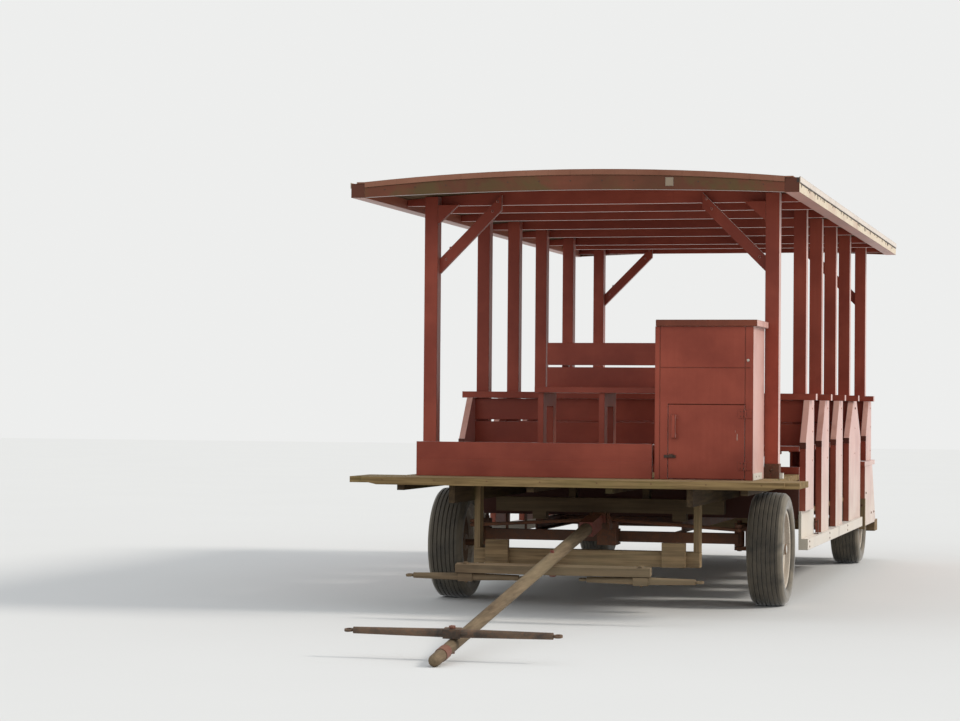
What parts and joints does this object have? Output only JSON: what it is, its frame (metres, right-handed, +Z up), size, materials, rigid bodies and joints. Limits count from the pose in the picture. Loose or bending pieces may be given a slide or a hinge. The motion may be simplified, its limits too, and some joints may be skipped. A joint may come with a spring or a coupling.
{
  "type": "carryall wagon",
  "caption": "Roofed wagon with crosswise benches, tyred wheels, knuckle steering from the pole, evener, swingletrees, neck yoke and a front cupboard with a hinged door.",
  "frame": {"origin": "On the ground, under the middle of the box round the whole wagon with its pole down", "axes": "+X to the right of someone who faces the wagon's front, +Y to the rear, +Z up"},
  "size_m": [2.852, 9.8011, 2.772],
  "materials": {
    "bare_timber": "bare weathered timber, olive-brown",
    "dark_iron": "dark worn iron",
    "galvanised": "dull galvanised steel",
    "pale_paint": "weathered pale paint on boards",
    "pole_wood": "weathered grey-brown timber",
    "red_steel": "dull red paint on steel",
    "red_wood": "barn-red paint on timber, worn at the edges",
    "rim": "dusty cream paint on steel",
    "roof_boards": "weathered roof boarding",
    "rusty_steel": "rusty brown steel",
    "tyre": "dusty black tyre rubber"
  },
  "bodies": {
    "wagon": {"bench_1": "red_wood", "bench_2": "red_wood", "bench_3": "red_wood", "bench_4": "red_wood", "bench_5": "red_wood", "bulkhead": "red_wood", "cupboard_case": "red_wood", "cupboard_lid": "red_wood", "deck_beams": "bare_timber", "deck_planks": "bare_timber", "deck_stringers": "bare_timber", "eave_beams": "red_wood", "floor_joists": "bare_timber", "floor_planks": "bare_timber", "frame_rails": "red_steel", "front_axle": "rusty_steel", "front_bench": "red_wood", "front_skirts": "pale_paint", "guard_blocks": "bare_timber", "hanging_step": "bare_timber", "hinge_leaves": "galvanised", "knee_braces": "red_wood", "post_shoes": "rusty_steel", "posts_left": "red_wood", "posts_right": "red_wood", "rafters": "red_wood", "rear_axle": "rusty_steel", "rear_step": "bare_timber", "rear_step_arms": "rusty_steel", "roof_deck": "roof_boards", "roof_fascias": "red_wood", "side_sills": "pale_paint", "sill_straps": "rusty_steel", "step_hangers": "bare_timber", "toe_board": "red_wood", "trestle": "bare_timber", "wheel_boxes": "bare_timber", "wheel_guards": "red_wood"},
    "tongue_base": {"tongue_base": "rusty_steel"},
    "knuckle_left": {"knuckle_left": "rusty_steel"},
    "knuckle_right": {"knuckle_right": "rusty_steel"},
    "tie_rod_left": {"tie_rod_left": "rusty_steel"},
    "tie_rod_right": {"tie_rod_right": "rusty_steel"},
    "pole": {"pole": "pole_wood", "pole_irons": "red_steel"},
    "evener": {"evener": "pole_wood"},
    "swingletree_left": {"swingletree_left": "pole_wood"},
    "swingletree_right": {"swingletree_right": "pole_wood"},
    "neck_yoke": {"neck_yoke": "dark_iron"},
    "cupboard_door": {"cupboard_door": "red_wood", "door_fittings": "galvanised"},
    "wheel_front_left": {"wheel_front_left": "rim", "tyre_front_left": "tyre"},
    "wheel_front_right": {"wheel_front_right": "rim", "tyre_front_right": "tyre"},
    "wheel_rear_left": {"wheel_rear_left": "rim", "tyre_rear_left": "tyre"},
    "wheel_rear_right": {"wheel_rear_right": "rim", "tyre_rear_right": "tyre"}
  },
  "joints": [
    {"name": "pole_steer", "type": "hinge", "parent": "wagon", "child": "tongue_base", "pos_m": [0, -0.45528, 0.47], "axis": [0, 0, 1], "range_deg": [-24, 24]},
    {"name": "pole_lift", "type": "hinge", "parent": "tongue_base", "child": "pole", "pos_m": [0, -0.85528, 0.575], "axis": [-1, 0, 0], "range_deg": [0, 14.2]},
    {"name": "evener_swing", "type": "hinge", "parent": "pole", "child": "evener", "pos_m": [0, -2.24264, 0.3873], "axis": [0, -0.1341, 0.991], "range_deg": [-20, 20]},
    {"name": "yoke_swing", "type": "hinge", "parent": "pole", "child": "neck_yoke", "pos_m": [0, -4.52188, 0.07893], "axis": [0, -0.1341, 0.991], "range_deg": [-20, 20]},
    {"name": "door_swing", "type": "hinge", "parent": "wagon", "child": "cupboard_door", "pos_m": [1.042, -1.44658, 0.939], "axis": [0, 0, 1], "range_deg": [0, 110]},
    {"name": "steer_left", "type": "hinge", "parent": "wagon", "child": "knuckle_left", "pos_m": [-0.862, -0.45528, 0.435], "axis": [0, 0, 1], "range_deg": [-24, 24]},
    {"name": "tie_left", "type": "hinge", "parent": "tongue_base", "child": "tie_rod_left", "pos_m": [-0.032, -0.70528, 0.557], "axis": [0, 0, 1], "range_deg": [-24, 24]},
    {"name": "swingle_left", "type": "hinge", "parent": "evener", "child": "swingletree_left", "pos_m": [-0.54, -2.22627, 0.26625], "axis": [0, -0.1341, 0.991], "range_deg": [-30, 30]},
    {"name": "steer_right", "type": "hinge", "parent": "wagon", "child": "knuckle_right", "pos_m": [0.862, -0.45528, 0.435], "axis": [0, 0, 1], "range_deg": [-24, 24]},
    {"name": "tie_right", "type": "hinge", "parent": "tongue_base", "child": "tie_rod_right", "pos_m": [0.032, -0.70528, 0.557], "axis": [0, 0, 1], "range_deg": [-24, 24]},
    {"name": "swingle_right", "type": "hinge", "parent": "evener", "child": "swingletree_right", "pos_m": [0.54, -2.22627, 0.26625], "axis": [0, -0.1341, 0.991], "range_deg": [-30, 30]},
    {"name": "roll_front_left", "type": "hinge", "parent": "knuckle_left", "child": "wheel_front_left", "pos_m": [-1.072, -0.45528, 0.372], "axis": [1, 0, 0], "continuous": true},
    {"name": "roll_front_right", "type": "hinge", "parent": "knuckle_right", "child": "wheel_front_right", "pos_m": [1.072, -0.45528, 0.372], "axis": [1, 0, 0], "continuous": true},
    {"name": "roll_rear_left", "type": "hinge", "parent": "wagon", "child": "wheel_rear_left", "pos_m": [-1.072, 4.24472, 0.372], "axis": [1, 0, 0], "continuous": true},
    {"name": "roll_rear_right", "type": "hinge", "parent": "wagon", "child": "wheel_rear_right", "pos_m": [1.072, 4.24472, 0.372], "axis": [1, 0, 0], "continuous": true}
  ],
  "couplings": [
    {"joint": "steer_left", "follows": "pole_steer", "ratio": 1},
    {"joint": "tie_left", "follows": "pole_steer", "ratio": -1},
    {"joint": "steer_right", "follows": "pole_steer", "ratio": 1},
    {"joint": "tie_right", "follows": "pole_steer", "ratio": -1}
  ]
}
